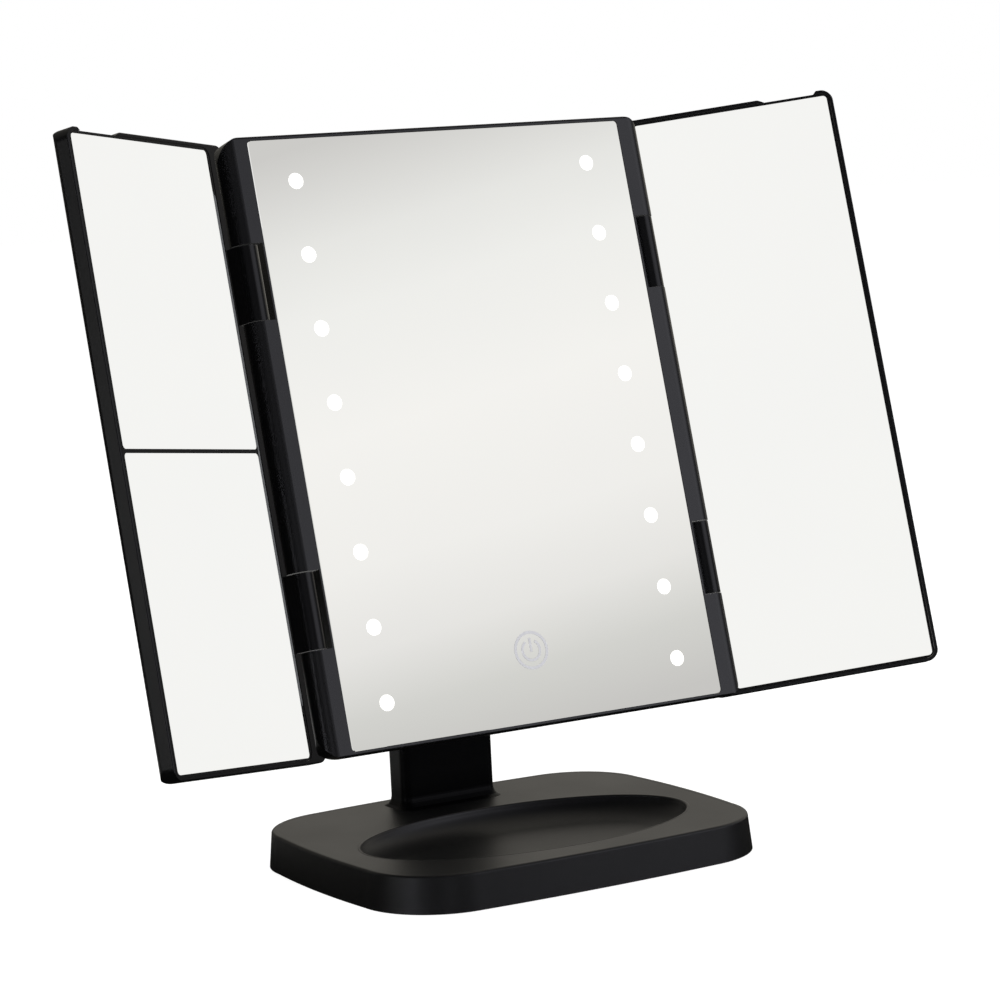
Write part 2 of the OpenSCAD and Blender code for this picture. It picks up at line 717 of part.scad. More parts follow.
module back_cover() {
    color("#242427") on_panel() difference() {
        union() {
            difference() {
                union() {
                    intersection() {
                        case_block();
                        block([-half_w - past, half_w + past], [frame_depth, rail_depth + past],
                              [panel_low - past, panel_high + past]);
                    }
                    soft_block(-bulge_half, bulge_half, frame_depth, case_depth, cavity_low - cover_wall,
                               cavity_high + cover_wall, 5, [0.5, 3], [0.5, 3]);
                }
                slab(-cavity_half, cavity_half, frame_depth - past, case_depth - cover_wall,
                     cavity_low, cavity_high, 3);
                hinge_windows();
            }
            soft_block(-box_half, box_half, case_depth - 1, box_back, box_low, box_high,
                       box_corner, [1, 2.6], [1, 2.6]);
            slab(usb_x - usb_size[0] / 2 - 1.6, usb_x + usb_size[0] / 2 + 1.6, case_depth - usb_len, case_depth - 1,
                 usb_z - usb_size[1] / 2 - 1.6, usb_z + usb_size[1] / 2 + 1.6, 1.2);
            for (x = [-bracket_screw_x, bracket_screw_x], z = [-bracket_screw_z, bracket_screw_z])
                peg(x, bracket_low + bracket_h / 2 + z, frame_depth - 3, case_depth - 1, 3.2);
        }
        slab(-bay_half, bay_half, bay_floor, box_back + past, bay_low, bay_high, 2);
        door_track();
        slab(usb_x - usb_size[0] / 2 - slip, usb_x + usb_size[0] / 2 + slip, case_depth - usb_len - past,
             case_depth + past, usb_z - usb_size[1] / 2 - slip, usb_z + usb_size[1] / 2 + slip, 0.8);
        for (s = cover_screw_spots) {
            peg(s[0], s[1], frame_depth - past, rail_depth + past, small_screw[0] / 2 + slip);
            peg(s[0], s[1], cover_screw_d, rail_depth + past, small_screw[1] / 2 + slip);
        }
        for (x = [-bracket_screw_x, bracket_screw_x], z = [-bracket_screw_z, bracket_screw_z])
            peg(x, bracket_low + bracket_h / 2 + z, frame_depth - 3 - past, case_depth + past,
                small_screw[0] / 2 + touch);
    }
}

module cover_screws() {
    color("#3c3c40") on_panel() for (s = cover_screw_spots)
        screw_in_panel(s[0], s[1], cover_screw_d, small_screw, cover_screw_len);
}

// ---------- Battery box ----------

// Room that the door slides in: grooves beside the bay and an open top end
module door_track() {
    block([-door_half - slip, door_half + slip], [door_in - slip, box_back + past], [bay_low - 0.8, box_high + past]);
    block([-door_half - tongue_w - slip, door_half + tongue_w + slip],
          [door_in - slip, door_in + tongue_t + slip], [bay_low - 0.8, box_high + past]);
}

module battery_door() {
    door_low = bay_low - 0.8 + slip;
    grip_low = bay_low + 8;
    color("#26262a") on_panel() {
        intersection() {
            union() {
                block([-door_half, door_half], [door_in, box_back], [door_low, box_high]);
                block([-door_half - tongue_w, door_half + tongue_w], [door_in, door_in + tongue_t],
                      [door_low, box_high]);
            }
            soft_block(-box_half, box_half, case_depth - 1, box_back, box_low, box_high,
                       box_corner, [1, 2.6], [1, 2.6]);
        }
        for (i = [0 : 4]) block([-9 + i, 9 - i], [box_back - 0.2, box_back + 0.6], [grip_low + 2.4 * i, grip_low + 2.4 * i + 1]);
    }
}

module battery_cells() {
    color("#b9a86a") on_panel() for (i = [0 : cell_count - 1]) {
        turn = i % 2 == 0 ? 1 : -1;
        start = -bay_half + slip + contact_t + spring_len;
        mirror([turn < 0 ? 1 : 0, 0, 0]) translate([start, cell_depth, cell_heights[i]]) rotate([0, 90, 0]) {
            cylinder(h = cell_len - 1.2, r = cell_d / 2);
            cylinder(h = cell_len, r = 2.7);
        }
    }
}

module battery_contacts() {
    color("#c9c9cc") on_panel() for (side = [-1, 1], z = cell_heights)
        block(side > 0 ? [bay_half - contact_t, bay_half] : [-bay_half, -bay_half + contact_t],
              [cell_depth - contact_w / 2, cell_depth + contact_w / 2], [z - contact_h / 2, z + contact_h / 2]);
}

// Conical coil spring, its wide end at the contact and its narrow end at the cell
module coil_spring(turns, wide, narrow, len, wire) {
    steps = 12 * turns;
    sides = 6;
    path = function (i) let (q = i / steps, r = wide + (narrow - wide) * q, a = 360 * turns * q)
        [r * cos(a), r * sin(a), wire + (len - 2 * wire) * q];
    points = [for (i = [0 : steps], k = [0 : sides - 1]) let (p = path(i), a = 360 * turns * i / steps, b = 360 * k / sides)
        p + wire * [cos(b) * cos(a), cos(b) * sin(a), sin(b)]];
    skin = [for (i = [0 : steps - 1], k = [0 : sides - 1]) let (n = (k + 1) % sides)
        [i * sides + k, i * sides + n, (i + 1) * sides + n, (i + 1) * sides + k]];
    start = [for (k = [sides - 1 : -1 : 0]) k];
    end = [for (k = [0 : sides - 1]) steps * sides + k];
    polyhedron(points, concat([start], skin, [end]));
}

module battery_springs() {
    color("#d8d8da") on_panel() for (i = [0 : cell_count - 1])
        mirror([i % 2 == 0 ? 0 : 1, 0, 0]) translate([-bay_half + contact_t, cell_depth, cell_heights[i]])
            rotate([0, 90, 0]) coil_spring(4, 4.6, 2.6, spring_len, 0.35);
}

// ---------- Tilt hinge ----------

module pivot_bracket() {
    plate_back = case_depth + bracket_t;
    color("#1c1c1f") on_panel() difference() {
        union() {
            slab(-bracket_w / 2, bracket_w / 2, case_depth, plate_back, bracket_low, bracket_low + bracket_h, 4);
            for (side = [-1, 1]) {
                x = side > 0 ? [ear_in, ear_out] : [-ear_out, -ear_in];
                axle(x[0], x[1], head_r);
                translate([x[0], 0, 0]) rotate([90, 0, 90]) linear_extrude(ear_t)
                    polygon([[plate_back - 1, bracket_low + 2], [pivot_depth, pivot_height - head_r],
                             [pivot_depth, pivot_height + head_r], [plate_back - 1, pivot_height + head_r + 2]]);
            }
        }
        axle(-ear_out - past, ear_out + past, shaft_d / 2 + touch);
        for (x = [-bracket_screw_x, bracket_screw_x], z = [-bracket_screw_z, bracket_screw_z])
            peg(x, bracket_low + bracket_h / 2 + z, case_depth - past, plate_back + past, small_screw[0] / 2 + slip);
    }
}

module bracket_screws() {
    color("#9a9a9e") on_panel()
        for (x = [-bracket_screw_x, bracket_screw_x], z = [-bracket_screw_z, bracket_screw_z])
            screw_in_panel(x, bracket_low + bracket_h / 2 + z, case_depth + bracket_t, small_screw, bracket_screw_len);
}

module tilt_shaft() {
    color("#a9a9ad") on_panel() {
        axle(-shaft_end, shaft_end + nut_t + 1.5, shaft_d / 2);
        translate([-shaft_end - bolt_head_t, pivot_depth, pivot_height]) rotate([0, 90, 0])
            cylinder(h = bolt_head_t, r = bolt_head_d / 2);
    }
}

module tilt_nut() {
    color("#a9a9ad") on_panel() difference() {
        translate([shaft_end, pivot_depth, pivot_height]) rotate([0, 90, 0])
            cylinder(h = nut_t, r = nut_flats / 2 / cos(30), $fn = 6);
        axle(shaft_end - past, shaft_end + nut_t + past, shaft_d / 2 + touch);
    }
}

module tilt_washers() {
    color("#c4c4c8") on_panel() for (side = [-1, 1], x = [head_w / 2 + slip, ear_out + slip]) difference() {
        near = side > 0 ? x : -x - washer_t;
        axle(near, near + washer_t, washer_d / 2);
        axle(near - past, near + washer_t + past, shaft_d / 2 + touch);
    }
}

// ---------- Wings ----------

// Hinge pins of one side
module hinge_pins(side) {
    on_panel() for (z = hinge_heights) translate([side * hinge_u, hinge_depth, z - pin_len / 2])
        cylinder(h = pin_len, r = hinge_pin_d / 2);
}

module hinge_pins_left() {
    color("#b0b0b4") hinge_pins(-1);
}

module hinge_pins_right() {
    color("#b0b0b4") hinge_pins(1);
}

// Hinge barrel and the arm that joins it to the wing
module hinge_knuckle(z) {
    translate([0, 0, z - window_h / 2 + barrel_gap]) linear_extrude(window_h - 2 * barrel_gap) {
        circle(r = barrel_r);
        polygon([[-barrel_r, 0], [barrel_r, 0], [pocket_near - 0.4, lip_d + 1], [wing_near + 1, lip_d + 1]]);
    }
}

module wing_cover(side) {
    on_wing(side) difference() {
        union() {
            difference() {
                soft_block(wing_near, wing_far, lip_d, wing_back_d, panel_low, panel_high,
                           wing_corner, [0.5, wing_round], [0.5, wing_round]);
                slab(pocket_near, wing_far - wing_wall, lip_d - past, cover_floor_d,
                     panel_low + wing_wall, panel_high - wing_wall, wing_corner - wing_wall);
            }
            for (z = hinge_heights) hinge_knuckle(z);
        }
        for (z = hinge_heights) translate([0, 0, z - window_h / 2])
            cylinder(h = window_h, r = hinge_pin_d / 2 + pin_play);
        finger_scoop();
    }
}

// Notch in the top wall that a fingertip pulls the wing open by
module finger_scoop() {
    far = wing_far - scoop_edge;
    near = far - scoop_len;
    low = panel_high - wing_wall;
    translate([0, cover_floor_d, 0]) rotate([90, 0, 0]) linear_extrude(cover_floor_d - lip_d + past)
        polygon([[near, low], [far, low], [far + wing_wall, panel_high + 0.01],
                 [far + wing_wall, panel_high + past], [near - 2 * wing_wall, panel_high + past],
                 [near - 2 * wing_wall, panel_high + 0.01]]);
}

// Places of the posts that seat a wing's carrier in its cover
wing_post_spots = [for (x = [pocket_near + 8, wing_far - 14], z = [20, hinge_mid, glass_h - 20]) [x, z]];

module wing_carrier(side, split) {
    near = pocket_near + slip;
    far = wing_far - wing_wall - slip;
    low = panel_low + wing_wall + slip;
    high = panel_high - wing_wall - slip;
    on_wing(side) {
        difference() {
            slab(near, far, carrier_lip_d, carrier_back_d, low, high, wing_corner - wing_wall - slip);
            for (span = split ? [[wing_glass_low, wing_mid - divider_w / 2], [wing_mid + divider_w / 2, wing_glass_high]]
                              : [[wing_glass_low, wing_glass_high]])
                slab(wing_glass_near - slip, wing_glass_far + slip, carrier_lip_d - past, carrier_floor_d,
                     span[0] - slip, span[1] + slip, glass_corner + slip);
        }
        for (s = wing_post_spots) peg(s[0], s[1], carrier_back_d - 0.5, cover_floor_d, 3);
    }
}

module wing_mirror(side, low, high) {
    on_wing(side) slab(wing_glass_near, wing_glass_far, wing_glass_d, wing_glass_d + glass_t, low, high, glass_corner);
}

module wing_foam(side, low, high) {
    edge = 6;
    on_wing(side) block([wing_glass_near + edge, wing_glass_far - edge],
                        [wing_glass_d + glass_t, carrier_floor_d], [low + edge, high - edge]);
}

module left_wing_cover() {
    color("#26262b") wing_cover(-1);
}

module left_wing_carrier() {
    color("#1a1a1d") wing_carrier(-1, true);
}

module left_upper_mirror() {
    color("#e4e4e2") wing_mirror(-1, wing_mid + divider_w / 2, wing_glass_high);
}

module left_lower_mirror() {
    color("#e4e4e2") wing_mirror(-1, wing_glass_low, wing_mid - divider_w / 2);
}

module left_mirror_pads() {
    color("#55555a") {
        wing_foam(-1, wing_mid + divider_w / 2, wing_glass_high);
        wing_foam(-1, wing_glass_low, wing_mid - divider_w / 2);
    }
}

module right_wing_cover() {
    color("#26262b") wing_cover(1);
}

module right_wing_carrier() {
    color("#1a1a1d") wing_carrier(1, false);
}

module right_mirror() {
    color("#e4e4e2") wing_mirror(1, wing_glass_low, wing_glass_high);
}

module right_mirror_pad() {
    color("#55555a") wing_foam(1, wing_glass_low, wing_glass_high);
}

// ---------- Nodes ----------

base_shell();
base_plate();
base_feet();
base_screws();
neck_post();
neck_screws();
front_frame();
center_mirror();
led_windows();
mirror_carrier();
led_board_left();
led_board_right();
led_chips();
touch_pad();
control_board();
usb_socket();
back_cover();
cover_screws();
pivot_bracket();
bracket_screws();
tilt_shaft();
tilt_nut();
tilt_washers();
battery_contacts();
battery_springs();
battery_cells();
battery_door();
hinge_pins_left();
hinge_pins_right();
left_wing_cover();
left_wing_carrier();
left_upper_mirror();
left_lower_mirror();
left_mirror_pads();
right_wing_cover();
right_wing_carrier();
right_mirror();
right_mirror_pad();
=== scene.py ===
"""Trifold vanity mirror on a stand: materials, sign, light windows, trim, smooth skins, studio, camera."""

import json
import math

import bmesh
import bpy
from mathutils import Matrix, Vector


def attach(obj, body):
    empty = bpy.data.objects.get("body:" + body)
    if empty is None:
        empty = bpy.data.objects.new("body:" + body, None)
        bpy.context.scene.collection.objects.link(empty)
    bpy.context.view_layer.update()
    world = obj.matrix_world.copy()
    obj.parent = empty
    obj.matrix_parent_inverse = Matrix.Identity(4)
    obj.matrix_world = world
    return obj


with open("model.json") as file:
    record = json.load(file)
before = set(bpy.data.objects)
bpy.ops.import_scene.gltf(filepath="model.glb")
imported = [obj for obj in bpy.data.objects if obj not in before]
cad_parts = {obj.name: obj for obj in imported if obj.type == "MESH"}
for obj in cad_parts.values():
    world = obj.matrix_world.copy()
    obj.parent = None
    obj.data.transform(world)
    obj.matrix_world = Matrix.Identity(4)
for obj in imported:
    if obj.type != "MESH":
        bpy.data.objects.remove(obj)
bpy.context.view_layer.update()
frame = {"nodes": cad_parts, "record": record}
nodes = frame["nodes"]
MM = 0.001
SIDES = ((-1, "left"), (1, "right"))

# ---------- Places on the mirror, in millimetres ----------

TILT = 14.5                    # how far the panel leans back, degrees
PIVOT = (25.7, 140.4)          # tilt axis: depth behind the base's centre, height above the table
PIVOT_ON_PANEL = (32.0, 95.0)  # the same axis: behind the glass front, above the glass bottom
HINGE = (86.0, 5.0)            # wing hinge axis: from the panel's middle, behind the glass front
FOLD = {-1: 28.5, 1: 25.5}     # how far each wing is folded forward, degrees
GLASS_HEIGHT = 226.0           # centre glass and wing glass
WING_GLASS_NEAR = 5.0          # near edge of the wing glass, from the hinge axis outwards
WING_GLASS_DEPTH = 6.2         # wing glass front, behind the hinge axis
LIGHT_ROWS = 8
LIGHT_PITCH = 27.8
LIGHT_LOW = 15.5               # lowest row, above the glass bottom
LIGHT_COLUMN = 63.1            # each column, from the panel's middle
LIGHT_RADIUS = 2.95
LIGHT_MIDDLE = -0.02           # middle of each window's thickness, behind the glass front
LIGHT_THICKNESS = 0.03
SIGN_CENTRE = (0.3, 26.7)      # on the glass: across from the middle, above the glass bottom
SIGN_RING = 6.7                # radii of the ring and of the open arc
SIGN_ARC = 3.75
SIGN_BAR = (4.6, -0.6)         # ends of the bar, above the centre
SIGN_DEPTH = (-0.045, -0.005)  # front and back of the print, behind the glass front
BARREL_PLACE = 60.65           # middle of each hinge barrel, from the middle of the glass
BARREL_SKIN = ((-14.05, 4.3), (-13.8, 4.63), (13.8, 4.63), (14.05, 4.3))  # height and radius
BASE = (166.2, 134.5)          # width and depth near the table
BASE_HEIGHT = 14.0
BASE_CORNER = 33.3             # centres of its corner arcs, in from its sides
BASE_BOW = 1.6                 # how far its sides bow out
BASE_DRAFT = 1.4               # how far its top is drawn in
BASE_SOFT = 1.0                # radius of its top edge
TRAY = (135.4, 77.0)           # oval of the tray's rim
TRAY_DEPTH = 8.0
TRAY_DISH = 15.0               # how far its wall curves in
TRAY_FRONT = 13.2              # its centre, in front of the base's centre
TRAY_STEPS = 160               # sides of the smooth oval

panel_place = (Matrix.Translation((0, PIVOT[0] * MM, PIVOT[1] * MM))
               @ Matrix.Rotation(math.radians(-TILT), 4, "X")
               @ Matrix.Translation((0, -PIVOT_ON_PANEL[0] * MM, -PIVOT_ON_PANEL[1] * MM)))


def wing_place(side):
    """Frame of one wing: x out from the hinge axis, y back from it, z up along it."""
    turn = Matrix.Rotation(math.radians(-FOLD[side] * side), 4, "Z")
    flip = Matrix.Diagonal((side, 1, 1, 1))
    return panel_place @ Matrix.Translation((side * HINGE[0] * MM, HINGE[1] * MM, 0)) @ turn @ flip


# ---------- Materials ----------

WEAR_CLOUDS = 45.0             # size of the faint clouds of wear on black plastic, millimetres
GRAIN_GLOSS = 0.03             # how far its grain moves the roughness
METAL_GLOSS = 0.07             # how far the grain of plated steel does
CELL_STEEL = 0.0247            # where the bare end of a cell starts, from its middle, metres


def linear(hex_code):
    """Linear colour of an sRGB hex value."""
    parts = [int(hex_code[i:i + 2], 16) / 255 for i in (0, 2, 4)]
    return [c / 12.92 if c <= 0.04045 else ((c + 0.055) / 1.055) ** 2.4 for c in parts] + [1.0]


def add(tree, kind, links=None, **settings):
    """Adds a node. A setting that names a property sets it, any other sets an input; links maps
    inputs to outputs."""
    node = tree.nodes.new(kind)
    for key, value in settings.items():
        if key in node.bl_rna.properties:
            setattr(node, key, value)
        else:
            node.inputs[key.replace("_", " ")].default_value = value
    for key, output in (links or {}).items():
        tree.links.new(output, node.inputs[key])
    return node


def new_material(name):
    material = bpy.data.materials.new(name)
    material.use_nodes = True
    material.node_tree.nodes.clear()
    return material, material.node_tree


def finish_material(tree, shader):
    add(tree, "ShaderNodeOutputMaterial", {"Surface": shader.outputs[0]})


def moulded_abs(name, colour, worn, roughness, grain, relief, cloud=0.06, gloss_level=0.3, shaded_foot=None):
    """Moulded ABS: black with a fine spark-eroded grain, and faint clouds of wear in its tone and gloss.

    The grain is in millimetres, coarser than the real one so that it shows. The last argument is two
    heights in metres: from the upper to the lower one the gloss fades to half, as painted shade on the foot."""
    material, tree = new_material(name)
    place = add(tree, "ShaderNodeTexCoord").outputs["Object"]
    sparks = add(tree, "ShaderNodeTexNoise", {"Vector": place}, Scale=1000 / grain, Detail=3.0,
                 Roughness=0.6).outputs["Fac"]
    clouds = add(tree, "ShaderNodeTexNoise", {"Vector": place}, Scale=1000 / WEAR_CLOUDS, Detail=4.0,
                 Roughness=0.55).outputs["Fac"]
    tone = add(tree, "ShaderNodeMix", {0: clouds}, data_type="RGBA", A=linear(colour), B=linear(worn))
    broad = add(tree, "ShaderNodeMapRange", {"Value": clouds}, To_Min=roughness - cloud,
                To_Max=roughness + cloud)
    fine = add(tree, "ShaderNodeMapRange", {"Value": sparks}, To_Min=-GRAIN_GLOSS, To_Max=GRAIN_GLOSS)
    gloss = add(tree, "ShaderNodeMath", {0: broad.outputs["Result"], 1: fine.outputs["Result"]},
                operation="ADD")
    bump = add(tree, "ShaderNodeBump", {"Height": sparks}, Strength=relief, Distance=0.00006)
    shader = add(tree, "ShaderNodeBsdfPrincipled",
                 {"Base Color": tone.outputs["Result"], "Roughness": gloss.outputs[0],
                  "Normal": bump.outputs["Normal"]}, IOR=1.53, Specular_IOR_Level=gloss_level)
    # Painted shade: the gloss fades towards the foot
    if shaded_foot:
        height = add(tree, "ShaderNodeSeparateXYZ", {"Vector": place}).outputs["Z"]
        level = add(tree, "ShaderNodeMapRange", {"Value": height}, From_Min=shaded_foot[0],
                    From_Max=shaded_foot[1], To_Min=gloss_level * 0.5, To_Max=gloss_level)
        tree.links.new(level.outputs["Result"], shader.inputs["Specular IOR Level"])
    finish_material(tree, shader)
    return material


def plain_metal(name, colour, dull, roughness, grain):
    """Plated or oxidised steel: faint grain, in millimetres, and uneven gloss."""
    material, tree = new_material(name)
    place = add(tree, "ShaderNodeTexCoord").outputs["Object"]
    specks = add(tree, "ShaderNodeTexNoise", {"Vector": place}, Scale=1000 / grain, Detail=4.0).outputs["Fac"]
    tone = add(tree, "ShaderNodeMix", {0: specks}, data_type="RGBA", A=linear(colour), B=linear(dull))
    gloss = add(tree, "ShaderNodeMapRange", {"Value": specks}, To_Min=roughness - METAL_GLOSS,
                To_Max=roughness + METAL_GLOSS)
    finish_material(tree, add(tree, "ShaderNodeBsdfPrincipled",
                              {"Base Color": tone.outputs["Result"], "Roughness": gloss.outputs["Result"]},
                              Metallic=1.0))
    return material


def soft_solid(name, colour, second, roughness, grain, relief):
    """Rubber, foam or lacquered board: mottled colour, matt or half gloss, with a grain in millimetres."""
    material, tree = new_material(name)
    place = add(tree, "ShaderNodeTexCoord").outputs["Object"]
    mottle = add(tree, "ShaderNodeTexNoise", {"Vector": place}, Scale=1000 / grain, Detail=5.0).outputs["Fac"]
    tone = add(tree, "ShaderNodeMix", {0: mottle}, data_type="RGBA", A=linear(colour), B=linear(second))
    bump = add(tree, "ShaderNodeBump", {"Height": mottle}, Strength=relief, Distance=0.0001)
    finish_material(tree, add(tree, "ShaderNodeBsdfPrincipled",
                              {"Base Color": tone.outputs["Result"], "Normal": bump.outputs["Normal"]},
                              Roughness=roughness, IOR=1.5))
    return material


def silvered_glass():
    """Float glass silvered on its back: a neutral and sharp mirror, faintly cloudy in tone."""
    material, tree = new_material("silvered_float_glass")
    cloud_size = 60  # millimetres
    place = add(tree, "ShaderNodeTexCoord").outputs["Object"]
    haze = add(tree, "ShaderNodeTexNoise", {"Vector": place}, Scale=1000 / cloud_size, Detail=2.0)
    tone = add(tree, "ShaderNodeMix", {0: haze.outputs["Fac"]}, data_type="RGBA", A=linear("fafaf8"),
               B=linear("f8f8f7"))
    finish_material(tree, add(tree, "ShaderNodeBsdfPrincipled", {"Base Color": tone.outputs["Result"]},
                              Roughness=0.0, Metallic=1.0))
    return material


def lit_window():
    """Frosted acrylic with a light behind it: white, a little dimmer where the frost is thick."""
    material, tree = new_material("frosted_lit_window")
    frost_size = 0.6  # millimetres
    place = add(tree, "ShaderNodeTexCoord").outputs["Object"]
    frost = add(tree, "ShaderNodeTexNoise", {"Vector": place}, Scale=1000 / frost_size, Detail=2.0)
    glow = add(tree, "ShaderNodeMapRange", {"Value": frost.outputs["Fac"]}, To_Min=0.95, To_Max=1.1)
    finish_material(tree, add(tree, "ShaderNodeBsdfPrincipled", {"Emission Strength": glow.outputs["Result"]},
                              Base_Color=linear("f4f3f0"), Roughness=0.5, IOR=1.49,
                              Emission_Color=linear("fffdfa")))
    return material


def etched_print():
    """Grey metallic ceramic print on the glass: it scatters what the mirror reflects."""
    material, tree = new_material("grey_ceramic_print")
    speck_size = 0.8  # millimetres
    place = add(tree, "ShaderNodeTexCoord").outputs["Object"]
    specks = add(tree, "ShaderNodeTexNoise", {"Vector": place}, Scale=1000 / speck_size, Detail=3.0)
    tone = add(tree, "ShaderNodeMix", {0: specks.outputs["Fac"]}, data_type="RGBA", A=linear("dfdfdb"),
               B=linear("e6e6e2"))
    finish_material(tree, add(tree, "ShaderNodeBsdfPrincipled", {"Base Color": tone.outputs["Result"]},
                              Metallic=0.9, Roughness=0.3))
    return material


def cell_sleeve():
    """Dry cells that lie across the panel: dark foil sleeves with bare steel ends."""
    material, tree = new_material("dry_cell_sleeve")
    place = add(tree, "ShaderNodeTexCoord").outputs["Object"]
    across = add(tree, "ShaderNodeSeparateXYZ", {"Vector": place}).outputs["X"]
    out = add(tree, "ShaderNodeMath", {0: across}, operation="ABSOLUTE").outputs[0]
    steel = add(tree, "ShaderNodeMath", {0: out}, operation="GREATER_THAN")
    steel.inputs[1].default_value = CELL_STEEL
    tone = add(tree, "ShaderNodeMix", {0: steel.outputs[0]}, data_type="RGBA", A=linear("3a4046"),
               B=linear("c9c7c2"))
    finish_material(tree, add(tree, "ShaderNodeBsdfPrincipled", {"Base Color": tone.outputs["Result"]},
                              Metallic=0.9, Roughness=0.32))
    return material


finishes = {
    # Deep black with a soft sheen, and black that hardly shines
    "black_abs": moulded_abs("satin_black_abs", "070708", "0b0b0c", 0.28, 0.35, 0.2, gloss_level=0.5),
    "dark_abs": moulded_abs("matt_black_abs", "090909", "0d0d0e", 0.5, 0.5, 0.35),
    "silvered_glass": silvered_glass(),
    "frosted_acrylic": lit_window(),
    # Dull black without highlights
    "rubber_foot": soft_solid("black_rubber", "0c0c0c", "121212", 0.8, 0.7, 0.4),
    # Cool light grey, near black and warm light grey, all with a blurred shine
    "zinc_steel": plain_metal("zinc_plated_steel", "b9babb", "9b9c9e", 0.34, 1.2),
    "black_screw_steel": plain_metal("black_oxide_steel", "2b2b2d", "1c1c1e", 0.45, 0.8),
    "nickel_plate": plain_metal("nickel_plate", "d4d0c6", "bdb9ae", 0.26, 1.5),
    # Half-gloss white, pale yellow, reddish metal and half-gloss green
    "led_board_white": soft_solid("white_solder_mask", "e9e8e2", "dddcd5", 0.35, 2.0, 0.05),
    "led_package": soft_solid("phosphor_package", "efe39a", "e6d67c", 0.4, 0.5, 0.05),
    "copper_pad": plain_metal("tinned_copper", "c98d64", "b67a52", 0.35, 0.9),
    "circuit_board": soft_solid("green_solder_mask", "11502d", "0d4225", 0.35, 2.0, 0.05),
    "cell_sleeve": cell_sleeve(),
    # Rough, mottled grey without highlights
    "foam_tape": soft_solid("grey_foam", "58585b", "474749", 0.9, 0.6, 0.6),
}
sign_print = etched_print()
# Grey for the painted highlight along each wing glass's near edge
edge_highlight_grey = moulded_abs("soft_grey_gasket", "8f9194", "9a9c9f", 0.45, 0.4, 0.2)
# The neck shines least, and less still at its foot, its gloss turned down as painted shade; the base has a
# rougher and broader sheen
shaded_neck_abs = moulded_abs("satin_neck_abs", "070708", "0a0a0b", 0.3, 0.35, 0.2, gloss_level=0.13,
                       shaded_foot=(0.019, 0.027))
base_abs = moulded_abs("spark_eroded_black_abs", "0a0a0b", "0e0e0f", 0.42, 0.4, 0.3, gloss_level=0.5)
# Finely grained wing covers whose lower gloss is painted shade, and hinge barrels with a clear gloss
wing_cover_shade_abs = moulded_abs("fine_grained_black_abs", "0a0a0b", "0f0f10", 0.3, 0.35, 0.2, gloss_level=0.35)
barrel_abs = moulded_abs("glossy_black_abs", "080809", "0c0c0d", 0.2, 0.5, 0.08, cloud=0.03)

for part in frame["record"]["subparts"]:
    mesh = nodes[part["node"]].data
    mesh.materials.clear()
    mesh.materials.append(finishes[part["material_slot"]])
for name, material in (("left_wing_cover", wing_cover_shade_abs), ("right_wing_cover", wing_cover_shade_abs),
                       ("base_shell", base_abs), ("neck_post", shaded_neck_abs)):
    nodes[name].data.materials[0] = material


# ---------- Small pieces ----------

def new_piece(name, mesh_maker, material, place, body):
    """Makes a mesh in millimetres, moves it to its place in metres and lets it ride on a body."""
    mesh = bpy.data.meshes.new(name)
    shape = bmesh.new()
    mesh_maker(shape)
    bmesh.ops.remove_doubles(shape, verts=shape.verts, dist=0.0001)
    bmesh.ops.transform(shape, matrix=place @ Matrix.Diagonal((MM, MM, MM, 1)), verts=shape.verts)
    bmesh.ops.recalc_face_normals(shape, faces=shape.faces)
    shape.to_mesh(mesh)
    shape.free()
    mesh.materials.append(material)
    piece = bpy.data.objects.new(name, mesh)
    bpy.context.scene.collection.objects.link(piece)
    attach(piece, body)
    return piece


def join_rings(shape, one, two, closed=True):
    """Quads between two rings of vertices, or between two open rows."""
    count = len(one)
    for i in range(count if closed else count - 1):
        j = (i + 1) % count
        shape.faces.new((one[i], one[j], two[j], two[i]))


def stroke(shape, path, width, closed=False):
    """Flat line of print along a path of (x, z) points, its edges bevelled by a third of its height."""
    front, back = SIGN_DEPTH
    count = len(path)
    bevel = (back - front) / 3
    rings = []
    for i, (x, z) in enumerate(path):
        a = path[(i - 1) % count] if closed or i else path[i]
        b = path[(i + 1) % count] if closed or i < count - 1 else path[i]
        along = Vector((b[0] - a[0], b[1] - a[1])).normalized()
        side = Vector((-along.y, along.x))
        corners = ((-width / 2, back), (-width / 2, front + bevel), (-width / 2 + bevel, front),
                   (width / 2 - bevel, front), (width / 2, front + bevel), (width / 2, back))
        rings.append([shape.verts.new((x + side.x * s, d, z + side.y * s)) for s, d in corners])
    for one, two in zip(rings, rings[1:] + rings[:1] if closed else rings[1:]):
        join_rings(shape, one, two)
    if not closed:
        shape.faces.new(rings[0])
        shape.faces.new(rings[-1])


def round_path(radius, start, end, steps):
    """Points around the sign's centre, angles in degrees clockwise from the top."""
    angles = [math.radians(start + (end - start) * i / steps) for i in range(steps + 1)]
    return [(SIGN_CENTRE[0] + radius * math.sin(a), SIGN_CENTRE[1] + radius * math.cos(a)) for a in angles]


def power_sign(shape):
    """Ring, open arc and bar of the on and off sign."""
    stroke(shape, round_path(SIGN_RING, 0, 360, 72)[:-1], 1.1, closed=True)
    stroke(shape, round_path(SIGN_ARC, 32, 328, 48), 1.0)
    stroke(shape, [(SIGN_CENTRE[0], SIGN_CENTRE[1] + height) for height in SIGN_BAR], 1.0)


